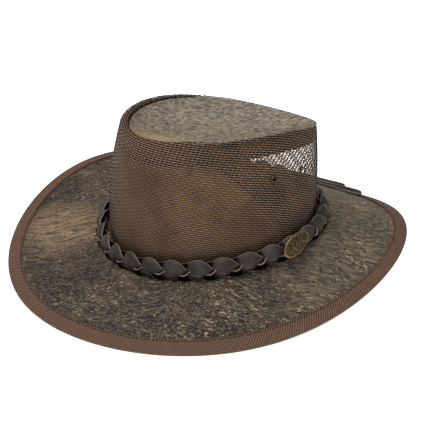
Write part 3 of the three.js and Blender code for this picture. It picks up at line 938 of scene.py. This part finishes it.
# Badge: an oval domed shell with a raised rim.
badgeLook = {"angle": -47.0, "long": 16.0, "wide": 8.6, "spin": 16.0, "lift": 4.4, "up": 5.0, "pitch": 24.0,
             "high": 3.4, "rim": 0.93}
# Its side, rim and dome, step by step: how much each step narrows, and how many sixteenths of high it climbs.
badgeSteps = [(1.0, 5), (0.97, 2), (0.93, 0.6), (0.93, -1.2), (0.95, 0.4), (0.93, 2), (0.88, 2), (0.8, 2),
              (0.7, 1.6), (0.5, 1.2), (0.2, 0.4)]


def turnedPlace(origin, run, face, spin=0.0):
    side = face.cross(run).normalized()
    straight = side.cross(face).normalized()
    axes = Matrix((straight, side, face)).transposed()
    return Matrix.Translation(origin) @ (axes @ Matrix.Rotation(spin, 3, "Z")).to_4x4()


# Antiqued brass: a beaten face, dark in the hollows and rubbed bright on the high spots.
def agedBrass():
    material, tree, shader = newMaterial("antiqued brass", Metallic=1.0, Roughness=0.4)
    high = lumps(tree, 1.3, 0.36, 0.68, (1, 1, 0.5), detail=1)
    bump = addNode(tree, "Bump", {"Height": high, "Distance": 0.3 * mm})
    feed(tree, shader, Base_Color=blend(tree, high, "#2f261b", "#75624a"), Normal=bump)
    return material


def makeBadge():
    look = badgeLook
    deselectAll()
    bpy.ops.mesh.primitive_circle_add(vertices=64, radius=1, fill_type="NGON")
    badge = bpy.context.object
    badge.name = badge.data.name = "concho_badge"
    bpy.ops.object.mode_set(mode="EDIT")
    bpy.ops.mesh.select_all(action="SELECT")
    rise = look["high"] / 16
    for scale, up in badgeSteps:
        bpy.ops.mesh.extrude_region_move(TRANSFORM_OT_translate={"value": (0, 0, up * rise)})
        bpy.ops.transform.resize(value=(scale, scale, 1))
    bpy.ops.mesh.select_all(action="SELECT")
    bpy.ops.mesh.normals_make_consistent(inside=False)
    bpy.ops.object.mode_set(mode="OBJECT")
    bpy.ops.object.shade_smooth()
    for face in badge.data.polygons:
        face.material_index = int(face.center.xy.length < look["rim"])
    badge.data.transform(Matrix.Diagonal((look["long"] * mm, look["wide"] * mm, mm, 1)))
    middle, along, across, face = plaitFrame(math.radians(look["angle"]))
    pitch = math.radians(look["pitch"])
    face = face * math.cos(pitch) + across * math.sin(pitch)
    middle = middle + across * look["up"] + face * look["lift"]
    spot = turnedPlace(place(middle), heading(along), heading(face), math.radians(look["spin"]))
    badge.data.transform(spot)
    # Brass worn by handling: brighter and smoother than the face.
    rim = plainMaterial("rubbed brass rim", "#86714f", 0.36, 1.0)
    return finishPiece(badge, "badge_brass", [rim, agedBrass()], "concho")


# Vent eyelets: rolled metal rings gripping the mesh.
def makeEyelets():
    # Brass blackened in a bath: a dull metal shine.
    metal = plainMaterial("blackened brass", "#5d5044", 0.5, 1.0)
    for name, spot, along, face in vents:
        deselectAll()
        major = (eyeletLook["outer"] + eyeletLook["bore"]) / 2
        bpy.ops.mesh.primitive_torus_add(major_segments=32, minor_segments=12, major_radius=major * mm,
                                         minor_radius=(eyeletLook["outer"] - major) * mm)
        ring = bpy.context.object
        ring.name = ring.data.name = name + "_ring"
        ring.data.transform(Matrix.Diagonal((1, 1, eyeletLook["deepen"], 1)))
        ring.data.transform(turnedPlace(place(spot), heading(along), heading(face)))
        bpy.ops.object.shade_smooth()
        finishPiece(ring, "eyelet_metal", [metal], name)


makeBrim()
print("brim made")
makeBinding()
print("binding made")
makeCrownMesh()
print("crown mesh made")
makeTop()
makeLining()
makeBand()
makeBadge()
makeEyelets()
print("pieces made")


# Pale floor and soft studio light. The floor is dark under the crown, so that the mesh isn't lit from inside.
studio = {"floor": "#f6f6f5", "shade": "#1d1b18", "shadeLong": 0.165, "shadeWide": 0.155, "world": 0.36,
          "glow": 0.95}
lamps = {"key": {"at": (-0.4, 0.1, 1.6), "size": 0.7, "power": 20},
         "front": {"at": (0.0, -1.5, 1.0), "size": 1.0, "power": 6}}


# Matt backdrop paper, white. Beyond the brim's outline it glows, a painted light that hides the hat's shadow
# there; under the crown it is painted dark, a painted shade.
def backdropPaper():
    material, tree, shader = newMaterial("pale paper, shaded under the crown", Roughness=0.9,
                                         Emission_Color="#ffffff")
    spot = stretched(tree, (1 / studio["shadeLong"], 1 / studio["shadeWide"], 1))
    far = addNode(tree, "VectorMath", {"operation": "LENGTH", 0: spot}, "Value")
    colour = blend(tree, addNode(tree, "MapRange", fading(far, 0.8, 0.95)), studio["shade"], studio["floor"])
    bright = addNode(tree, "MapRange", fading(far, 0.88, 1.0))
    glow = addNode(tree, "Math", {"operation": "MULTIPLY", 0: bright, 1: studio["glow"]})
    feed(tree, shader, Base_Color=colour, Emission_Strength=glow)
    return material


def makeStudio():
    deselectAll()
    bpy.ops.mesh.primitive_plane_add(size=12)
    floor = bpy.context.object
    floor.name = "floor"
    floor.data.materials.append(backdropPaper())
    floor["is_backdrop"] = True
    world = bpy.data.worlds.new("studio")
    bpy.context.scene.world = world
    world.use_nodes = True
    backdrop = world.node_tree.nodes["Background"]
    backdrop.inputs["Color"].default_value = hexColour("#ffffff")
    backdrop.inputs["Strength"].default_value = studio["world"]
    for name, look in lamps.items():
        lamp = bpy.data.objects.new(name, bpy.data.lights.new(name, "AREA"))
        bpy.context.scene.collection.objects.link(lamp)
        lamp.location = look["at"]
        lamp.rotation_euler = (-Vector(look["at"])).to_track_quat("-Z", "Y").to_euler()
        lamp.data.size, lamp.data.energy = look["size"], look["power"]


makeStudio()
bpy.context.scene.view_settings.view_transform = "Standard"
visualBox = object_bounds()
[[list(corner) for corner in box] for box in (cadBox, visualBox)]
